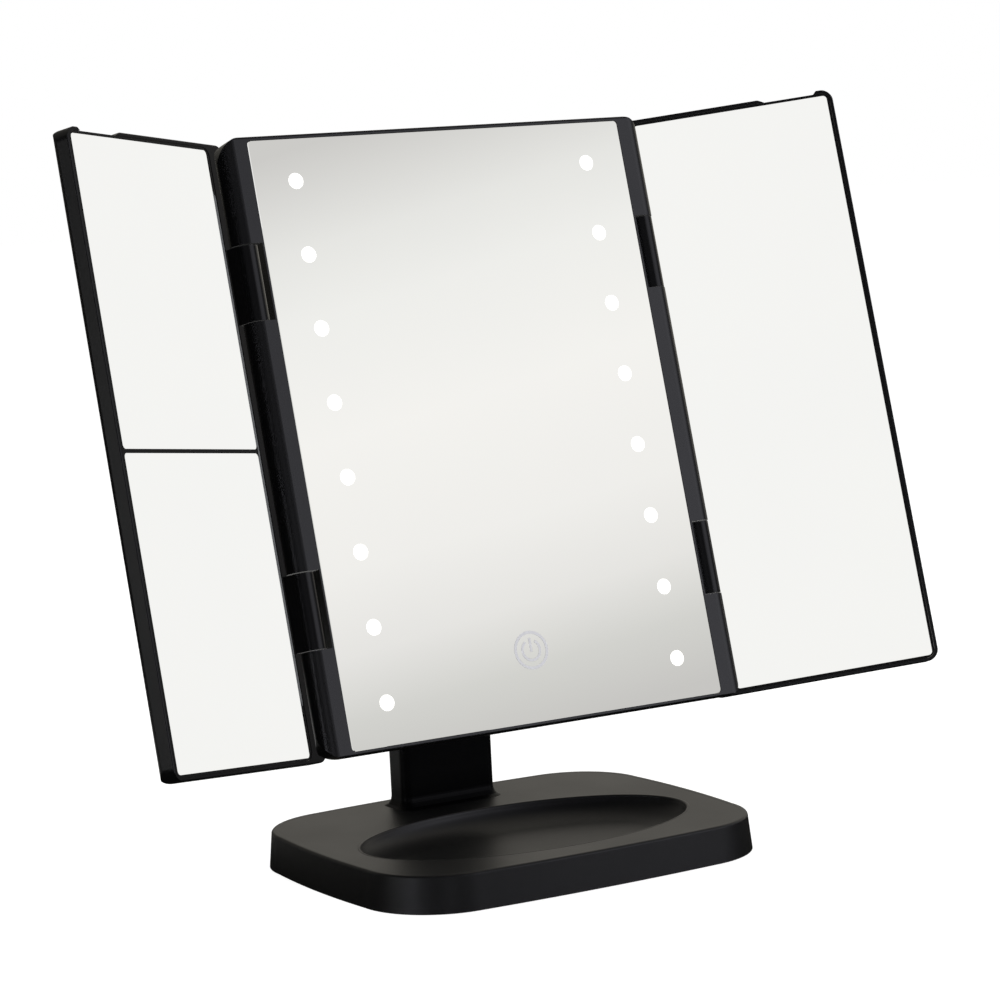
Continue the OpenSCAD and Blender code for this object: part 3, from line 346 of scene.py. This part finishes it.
def painted_edge_highlight(shape):
    """Painted highlight: a thin grey strip along the wing glass beside the hinge; it stops short of the
    corners.
    """
    inner, outer = WING_GLASS_NEAR - 0.95, WING_GLASS_NEAR + 0.1
    front, back = WING_GLASS_DEPTH - 0.35, WING_GLASS_DEPTH - 0.005
    low, high = 18.0, GLASS_HEIGHT - 16.0
    taper, dip = 3.0, 0.3
    section = ((inner, back), (inner + 0.25, front), (outer - 0.45, front), (outer, back))
    rings = [[shape.verts.new((s, d, z)) for s, d in section] for z in (low, low + taper, high - taper, high)]
    for ring in (rings[0], rings[-1]):
        for vert in ring[1:3]:
            vert.co.y += dip
    for one, two in zip(rings, rings[1:]):
        join_rings(shape, one, two)
    for ring in (rings[0], rings[-1]):
        shape.faces.new(ring)


def barrel_sleeve(shape):
    """Polished skin of the two hinge barrels of a wing, closed behind."""
    turns = [math.radians(a) for a in range(-178, 3, 5)]
    for middle in (GLASS_HEIGHT / 2 - BARREL_PLACE, GLASS_HEIGHT / 2 + BARREL_PLACE):
        rings = [[shape.verts.new((r * math.cos(a), r * math.sin(a), middle + z)) for a in turns]
                 for z, r in BARREL_SKIN]
        for one, two in zip(rings, rings[1:] + rings[:1]):
            join_rings(shape, one, two, closed=False)
        for end in (0, -1):
            shape.faces.new([ring[end] for ring in rings])


def tray_lining(shape):
    """Smooth skin of the dished tray: a tight rolled edge, a wall that curves in and a flat floor,
    closed below."""
    half_x, half_y, top = TRAY[0] / 2, TRAY[1] / 2, BASE_HEIGHT
    proud, layer, thick = 0.02, 0.2, 0.5  # above the base, above the wall and floor, through the skin
    edge, roll, flat = 0.7, 0.8, 8  # start of the rolled edge, its radius, reach of the flat floor
    profile = [(edge + 0.65, top - 0.15), (edge + 0.6, top + 0.012), (edge, top + proud)]
    for turn in [math.radians(a) for a in range(15, 91, 15)]:
        profile.append((edge - roll * math.sin(turn), top + proud - roll * (1 - math.cos(turn))))
    for turn in [math.radians(a) for a in range(8, 91, 5)]:
        profile.append((-TRAY_DISH * (1 - math.cos(turn)) - layer * math.cos(turn),
                        top - TRAY_DEPTH * math.sin(turn) + layer * math.sin(turn)))
    profile.append((-TRAY_DISH - flat, top - TRAY_DEPTH + layer))
    below = [(grow + (0.3 if z < top - 0.2 else 0.0), z - thick) for grow, z in reversed(profile)]
    turns = [2 * math.pi * i / TRAY_STEPS for i in range(TRAY_STEPS)]
    rings = [[shape.verts.new(((half_x + grow) * math.cos(a), (half_y + grow) * math.sin(a) - TRAY_FRONT, z))
              for a in turns] for grow, z in profile + below]
    deepest = len(profile) - 1
    for i, (one, two) in enumerate(zip(rings, rings[1:] + rings[:1])):
        if i != deepest:
            join_rings(shape, one, two)
    shape.faces.new(rings[deepest])
    shape.faces.new(rings[deepest + 1])


def base_outline(inset):
    """The base seen from above: bowed sides between round corners, drawn in by inset."""
    points = []
    middle = (BASE[0] / 2 - BASE_CORNER, BASE[1] / 2 - BASE_CORNER)
    radius = BASE_CORNER - BASE_BOW - inset
    steps = 24
    for quarter, (sx, sy) in enumerate(((1, 1), (-1, 1), (-1, -1), (1, -1))):
        for i in range(steps + 1):
            turn = math.radians(90 * quarter + 90 * i / steps)
            points.append((sx * middle[0] + radius * math.cos(turn), sy * middle[1] + radius * math.sin(turn)))
        for i in range(1, steps):
            t = 1 - 2 * i / steps
            reach = BASE[(quarter + 1) % 2] / 2 - inset - BASE_BOW + BASE_BOW * (1 - t * t)
            across = t * middle[quarter % 2]
            points.append(((across, reach), (-reach, across), (-across, -reach), (reach, -across))[quarter])
    return points


def base_skin(shape):
    """Smooth skin over the base's side and its rounded top edge, closed behind."""
    proud, low = 0.05, 0.3  # over the base's side, above the table
    slope = BASE_DRAFT / (BASE_HEIGHT - low)
    soft = BASE_HEIGHT - BASE_SOFT  # where the side turns into the top edge
    profile = [(slope * (z - low) - proud, z) for z in (low, low + 0.1, 4.0, 8.0, soft - 1.0, soft)]
    for turn in [math.radians(a) for a in range(10, 91, 10)]:
        profile.append((slope * (soft - low) + (BASE_SOFT + proud) * (1 - math.cos(turn)) - proud,
                        soft + (BASE_SOFT + proud) * math.sin(turn)))
    brim = profile[-1][0]
    profile += [(brim + 1.4, BASE_HEIGHT + 0.02), (brim + 1.5, BASE_HEIGHT + 0.02)]
    behind = [(brim + 1.6, BASE_HEIGHT - 0.4), (BASE_DRAFT + BASE_SOFT, BASE_HEIGHT - 0.5), (0.6, low)]
    rings = [[shape.verts.new((x, y, z)) for x, y in base_outline(inset)] for inset, z in profile + behind]
    for one, two in zip(rings, rings[1:] + rings[:1]):
        join_rings(shape, one, two)


new_piece("power_sign", power_sign, sign_print, panel_place, "mirror_panel")
# The first trim is a painted highlight along each wing glass's near edge
for ending, maker, material, slot in (("_glass_gasket", painted_edge_highlight, edge_highlight_grey, "dark_abs"),
                                      ("_barrel_sleeves", barrel_sleeve, barrel_abs, "black_abs")):
    for side, name in SIDES:
        trim = new_piece(name + ending, maker, material, wing_place(side), name + "_wing")
        trim.visible_glossy = False
for name, maker in (("tray_lining", tray_lining), ("base_skin", base_skin)):
    skin = new_piece(name, maker, base_abs, Matrix.Identity(4), "stand")
    for face in skin.data.polygons:  # smooth where it is seen, flat below and behind
        face.use_smooth = face.normal.z > -0.05

# The glasses of the photograph mirror only the bright studio, so gloss doesn't see the panel and the wings
for body in ("mirror_panel", "left_wing", "right_wing", "battery_door"):
    for name in frame["record"]["behaviour"]["bodies"][body]:
        nodes[name].visible_glossy = name == "left_wing_carrier"


# ---------- Light windows: two columns of frosted spots ----------

def light_window_tree(material):
    """Two columns of round windows, from a count, a pitch, a column distance and a radius."""
    tree = bpy.data.node_groups.new("light_windows", "GeometryNodeTree")
    tree.interface.new_socket("Geometry", in_out="OUTPUT", socket_type="NodeSocketGeometry")
    tree.interface.new_socket("Rows", in_out="INPUT", socket_type="NodeSocketInt")
    for name in ("Pitch", "Column", "Lowest", "Radius", "Thickness"):
        tree.interface.new_socket(name, in_out="INPUT", socket_type="NodeSocketFloat")
    given = add(tree, "NodeGroupInput").outputs
    spot = add(tree, "GeometryNodeMeshCylinder", {"Radius": given["Radius"], "Depth": given["Thickness"]},
               Vertices=40)
    facing = add(tree, "GeometryNodeTransform", {"Geometry": spot.outputs["Mesh"]},
                 Rotation=(math.pi / 2, 0, 0))
    columns = []
    for side in (-1, 1):
        x = add(tree, "ShaderNodeMath", {0: given["Column"]}, operation="MULTIPLY")
        x.inputs[1].default_value = side
        start = add(tree, "ShaderNodeCombineXYZ", {"X": x.outputs[0], "Z": given["Lowest"]})
        step = add(tree, "ShaderNodeCombineXYZ", {"Z": given["Pitch"]})
        line = add(tree, "GeometryNodeMeshLine", {"Count": given["Rows"], "Start Location": start.outputs[0],
                                                  "Offset": step.outputs[0]})
        columns.append(line.outputs["Mesh"])
    joined = add(tree, "GeometryNodeJoinGeometry")
    for column in columns:
        tree.links.new(column, joined.inputs["Geometry"])
    copies = add(tree, "GeometryNodeInstanceOnPoints", {"Points": joined.outputs[0],
                                                        "Instance": facing.outputs[0]})
    real = add(tree, "GeometryNodeRealizeInstances", {"Geometry": copies.outputs[0]})
    painted = add(tree, "GeometryNodeSetMaterial", {"Geometry": real.outputs[0]}, Material=material)
    add(tree, "NodeGroupOutput", {"Geometry": painted.outputs[0]})
    return tree


def light_windows():
    holder = bpy.data.objects.new("light_windows_holder", bpy.data.meshes.new("light_windows_holder"))
    bpy.context.scene.collection.objects.link(holder)
    modifier = holder.modifiers.new("light_windows", "NODES")
    modifier.node_group = light_window_tree(finishes["frosted_acrylic"])
    sizes = {"Rows": LIGHT_ROWS, "Pitch": LIGHT_PITCH, "Column": LIGHT_COLUMN, "Lowest": LIGHT_LOW,
             "Radius": LIGHT_RADIUS, "Thickness": LIGHT_THICKNESS}
    for item in modifier.node_group.interface.items_tree:
        if item.in_out == "INPUT":
            modifier[item.identifier] = sizes[item.name]
    seen = holder.evaluated_get(bpy.context.evaluated_depsgraph_get())
    mesh = bpy.data.meshes.new_from_object(seen)
    bpy.data.objects.remove(holder)
    mesh.transform(panel_place @ Matrix.Diagonal((MM, MM, MM, 1))
                   @ Matrix.Translation((0, LIGHT_MIDDLE, 0)))
    piece = bpy.data.objects.new("light_windows", mesh)
    bpy.context.scene.collection.objects.link(piece)
    piece.visible_glossy = False
    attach(piece, "mirror_panel")


light_windows()


# ---------- Studio ----------

FLOOR_GLOW = 0.86              # keeps the floor white to the camera, under its soft shadow
FLOOR_PALE = (0.09, 0.17, 0.3, 0.42)  # pale strip that gloss sees behind the base, metres: fades in and out
FILL = 0.35                    # the studio's light on matt surfaces

# Brightness of the grey cards that satin plastic sees, 1 for white
FRONT_TONE = 1.15              # in front, to the right
SHOULDER_TONE = 0.13           # in front, from the middle to the left, as a share of the front
SIDE_TONE = 0.05               # far right, as a share of the front
LOW_TONE = 1.8                 # near the table, as a share of the front
HIGH_TONE = 0.25               # in front, overhead
BACK_TONE = 0.55               # behind, to the right
BACK_LEFT_TONE = 0.18          # behind, from the middle to the left
HIGH_BACK_TONE = 0.6           # behind, overhead, as a share of the back
LEFT_TONE = 0.05               # far left, as a share of front and back
CARD_TONE = 1.6                # small card beside the camera, near the table
STRIP_TONE = 6.0               # narrow card to the left of the camera, near the table

# What the mirror glass sees between two heights: place in the band and colour
GLASS_BAND = (0.24, 0.42)
GLASS_TONES = ((0.0, "cbcac8"), (1.0, "d1d0ce"), (0.106, "d7d7d4"), (0.211, "ebeae8"), (0.344, "f5f4f2"),
               (0.55, "f9f8f6"), (0.74, "f4f4f2"), (0.85, "ebebe9"))


def floor_material():
    """Pale sweep: white with a soft contact shadow to the camera, pale grey in the mirrors, dark to
    satin plastic except behind the base."""
    material, tree = new_material("pale_sweep")
    rays = add(tree, "ShaderNodeLightPath").outputs
    paper = add(tree, "ShaderNodeBsdfDiffuse", Color=linear("b4b4b2"))
    glow = add(tree, "ShaderNodeEmission", Color=(1, 1, 1, 1), Strength=FLOOR_GLOW)
    white = add(tree, "ShaderNodeAddShader", {0: paper.outputs[0], 1: glow.outputs[0]})
    place = add(tree, "ShaderNodeTexCoord").outputs["Object"]
    depth = add(tree, "ShaderNodeSeparateXYZ", {"Vector": place}).outputs["Y"]
    near = add(tree, "ShaderNodeMapRange", {"Value": depth}, From_Min=FLOOR_PALE[0], From_Max=FLOOR_PALE[1])
    far = add(tree, "ShaderNodeMapRange", {"Value": depth}, From_Min=FLOOR_PALE[3], From_Max=FLOOR_PALE[2])
    strip = add(tree, "ShaderNodeMath", {0: near.outputs["Result"], 1: far.outputs["Result"]},
                operation="MULTIPLY")
    tone = add(tree, "ShaderNodeMix", {0: strip.outputs[0]}, data_type="RGBA", A=linear("1e1e1d"),
               B=linear("b8b8b6"))
    shade = add(tree, "ShaderNodeBsdfDiffuse", {"Color": tone.outputs["Result"]})
    gloss = add(tree, "ShaderNodeMixShader",
                {0: rays["Is Glossy Ray"], 1: paper.outputs[0], 2: shade.outputs[0]})
    pale = add(tree, "ShaderNodeEmission", Color=linear("e2e2df"), Strength=1.0)
    mirrored = add(tree, "ShaderNodeMixShader",
                   {0: rays["Is Singular Ray"], 1: gloss.outputs[0], 2: pale.outputs[0]})
    finish_material(tree, add(tree, "ShaderNodeMixShader",
                              {0: rays["Is Camera Ray"], 1: mirrored.outputs[0], 2: white.outputs[0]}))
    return material


def studio_floor():
    mesh = bpy.data.meshes.new("studio_floor")
    reach = 6  # metres to each side
    corners = [(-reach, -reach, 0), (reach, -reach, 0), (reach, reach, 0), (-reach, reach, 0)]
    mesh.from_pydata(corners, [], [(0, 1, 2, 3)])
    mesh.materials.append(floor_material())
    floor = bpy.data.objects.new("studio_floor", mesh)
    bpy.context.scene.collection.objects.link(floor)


def studio_world():
    """White studio. The mirror glass sees a toned panel over the right shoulder, satin plastic sees
    soft grey cards."""
    world = bpy.data.worlds.new("studio")
    world.use_nodes = True
    tree = world.node_tree
    tree.nodes.clear()
    rays = add(tree, "ShaderNodeLightPath").outputs
    look = add(tree, "ShaderNodeTexCoord").outputs["Generated"]
    way = add(tree, "ShaderNodeSeparateXYZ", {"Vector": look}).outputs

    def ease(axis, start, end, low=0.0, high=1.0):
        """Soft step from low to high along one axis of the direction that is looked in, -1 to 1: X to
        the right, Y away and Z up."""
        return add(tree, "ShaderNodeMapRange", {"Value": way[axis]}, From_Min=start, From_Max=end,
                   To_Min=low, To_Max=high, interpolation_type="SMOOTHSTEP").outputs[0]

    def join(operation, *values):
        """Sum, product or maximum of outputs and numbers."""
        out = values[0]
        for value in values[1:]:
            step = add(tree, "ShaderNodeMath", {0: out}, operation=operation)
            if isinstance(value, float):
                step.inputs[1].default_value = value
            else:
                tree.links.new(value, step.inputs[1])
            out = step.outputs[0]
        return out

    height = add(tree, "ShaderNodeMapRange", {"Value": way["Z"]}, From_Min=GLASS_BAND[0],
                 From_Max=GLASS_BAND[1])
    band = add(tree, "ShaderNodeValToRGB", {"Fac": height.outputs["Result"]})
    ramp = band.color_ramp
    for i, (at, tone) in enumerate(GLASS_TONES):
        stop = ramp.elements[i] if i < 2 else ramp.elements.new(at)
        stop.position = at
        stop.color = linear(tone)
    over_shoulder = join("MULTIPLY", ease("X", 0.1, 0.3), ease("X", 0.85, 0.7), ease("Y", -0.2, -0.4))
    room = add(tree, "ShaderNodeMix", {0: over_shoulder, "B": band.outputs["Color"]}, data_type="RGBA",
               A=linear("fafaf9"))
    in_glass = add(tree, "ShaderNodeBackground", {"Color": room.outputs["Result"]}, Strength=1.0)

    front = join("MULTIPLY", ease("X", 0.22, 0.47, SHOULDER_TONE), ease("X", 0.97, 0.75, SIDE_TONE),
                 ease("Z", -0.05, 0.2, LOW_TONE), ease("Z", 0.7, 0.36, HIGH_TONE, FRONT_TONE))
    back = join("MULTIPLY", ease("X", 0.12, 0.4, BACK_LEFT_TONE, BACK_TONE),
                ease("Z", 1.0, 0.45, HIGH_BACK_TONE))
    behind = ease("Y", -0.2, 0.2)
    around = join("ADD", join("MULTIPLY", front, ease("Y", 0.2, -0.2)), join("MULTIPLY", back, behind))
    left = ease("X", -0.8, -0.6, LEFT_TONE)
    card = join("MULTIPLY", ease("X", -0.45, -0.33), ease("X", -0.12, -0.27), ease("Y", -0.6, -0.8),
                ease("Z", 0.25, 0.1))
    strip = join("MULTIPLY", ease("X", -0.78, -0.88), ease("Y", -0.12, -0.32), ease("Z", 0.12, 0.04))
    cards = join("ADD", join("MULTIPLY", around, left), join("MULTIPLY", card, CARD_TONE),
                 join("MULTIPLY", strip, STRIP_TONE))
    tint = add(tree, "ShaderNodeMix", {0: behind}, data_type="RGBA", A=linear("f4f4ff"), B=linear("fffaee"))
    in_gloss = add(tree, "ShaderNodeBackground", {"Color": tint.outputs["Result"], "Strength": cards})

    bounced = join("MAXIMUM", rays["Is Glossy Ray"], rays["Is Transmission Ray"])
    fill = add(tree, "ShaderNodeBackground", Color=(1, 1, 1, 1), Strength=FILL)
    white = add(tree, "ShaderNodeBackground", Color=(1, 1, 1, 1), Strength=1.0)
    mirrored = add(tree, "ShaderNodeMixShader",
                   {0: rays["Is Singular Ray"], 1: in_gloss.outputs[0], 2: in_glass.outputs[0]})
    lit = add(tree, "ShaderNodeMixShader", {0: bounced, 1: fill.outputs[0], 2: mirrored.outputs[0]})
    out = add(tree, "ShaderNodeMixShader",
              {0: rays["Is Camera Ray"], 1: lit.outputs[0], 2: white.outputs[0]})
    add(tree, "ShaderNodeOutputWorld", {"Surface": out.outputs[0]})
    bpy.context.scene.world = world


def soft_light(name, place, aim, size, power, beam=180):
    """Rectangular light: places and size in metres, power in watts, beam in degrees. Gloss sees it only
    where its beam is narrow."""
    lamp = bpy.data.lights.new(name, "AREA")
    lamp.shape = "RECTANGLE"
    lamp.size, lamp.size_y = size
    lamp.energy = power
    lamp.spread = math.radians(beam)
    holder = bpy.data.objects.new(name, lamp)
    turn = (Vector(aim) - Vector(place)).to_track_quat("-Z", "Y").to_matrix().to_4x4()
    holder.matrix_world = Matrix.Translation(place) @ turn
    holder.visible_glossy = beam < 180
    bpy.context.scene.collection.objects.link(holder)


def studio_camera():
    """Camera at the photograph's viewing angle, from a fit to the mirror's corners and lights."""
    azimuth, elevation, roll = math.radians(-30.362), math.radians(7.006), math.radians(-2.844)
    focal, shift, distance = 3290.57, (3.992, -135.617), 1252.652  # pixels, then millimetres
    picture, sensor = 1000, 36  # widths: pixels and millimetres
    back = Vector((math.sin(azimuth) * math.cos(elevation), -math.cos(azimuth) * math.cos(elevation),
                   math.sin(elevation)))
    right = Vector((math.cos(azimuth), math.sin(azimuth), 0))
    up = back.cross(right)
    across = right * math.cos(roll) + up * math.sin(roll)
    above = up * math.cos(roll) - right * math.sin(roll)
    eye = (back * distance - across * shift[0] - above * shift[1]) * MM
    data = bpy.data.cameras.new("photo_camera")
    data.sensor_width = sensor
    data.lens = focal * sensor / picture
    data.clip_end = 50
    camera = bpy.data.objects.new("photo_camera", data)
    camera.matrix_world = Matrix(((across.x, above.x, back.x, eye.x), (across.y, above.y, back.y, eye.y),
                                  (across.z, above.z, back.z, eye.z), (0, 0, 0, 1)))
    bpy.context.scene.collection.objects.link(camera)
    bpy.context.scene.camera = camera


studio_floor()
studio_world()
soft_light("key_light", (-0.5, -1.2, 2.2), (0, 0, 0.12), (0.9, 0.9), 16)
soft_light("top_light", (0.3, 0.5, 1.9), (0, 0, 0.05), (1.2, 0.9), 12)
soft_light("left_light", (-1.15, -0.01, 0.29), (-0.16, -0.03, 0.2), (0.35, 0.5), 0.022, beam=22)
studio_camera()
bpy.context.scene.view_settings.view_transform = "Standard"
